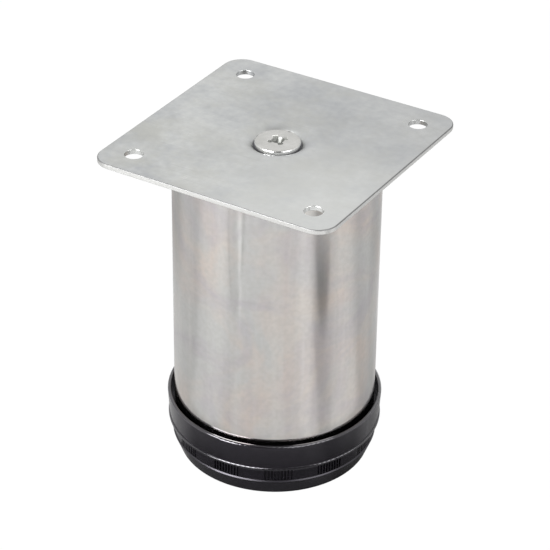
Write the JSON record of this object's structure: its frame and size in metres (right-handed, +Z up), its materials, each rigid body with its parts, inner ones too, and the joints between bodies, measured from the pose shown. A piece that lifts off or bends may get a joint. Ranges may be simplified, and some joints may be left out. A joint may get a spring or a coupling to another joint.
{
  "type": "height adjustable table leg",
  "caption": "Round steel furniture leg with a square screwed mounting plate on top and a black plastic foot that turns in and out to set the height.",
  "frame": {"origin": "on the floor, at the middle of the foot's underside", "axes": "+Z up along the tube towards the mounting plate; +X and +Y parallel to the plate's edges"},
  "size_m": [0.076, 0.076, 0.1023],
  "materials": {
    "plate_zinc": "bright zinc plating on pressed sheet, satin with faint mottling",
    "screw_zinc": "bright zinc plating on turned steel",
    "inner_steel": "zinc plated steel",
    "polished_steel": "polished steel with soft streaks along the tube",
    "black_plastic": "glossy moulded black plastic"
  },
  "bodies": {
    "leg": {"mounting_plate": "plate_zinc", "plate_screw": "screw_zinc", "top_bridge": "inner_steel", "bridge_nut": "inner_steel", "leg_tube": "polished_steel", "end_socket": "black_plastic", "spindle_nut": "inner_steel"},
    "glide": {"foot_glide": "black_plastic"},
    "foot": {"adjusting_foot": "black_plastic", "foot_spindle": "inner_steel"}
  },
  "joints": [
    {"name": "foot_travel", "type": "slide", "parent": "leg", "child": "glide", "axis": [0, 0, -1], "range_m": [0, 0.015]},
    {"name": "foot_turn", "type": "hinge", "parent": "glide", "child": "foot", "pos_m": [0, 0, 0], "axis": [0, 0, -1], "range_deg": [0, 3600]}
  ],
  "couplings": [
    {"joint": "foot_travel", "follows": "foot_turn", "m_per_rad": 0.00023873}
  ]
}
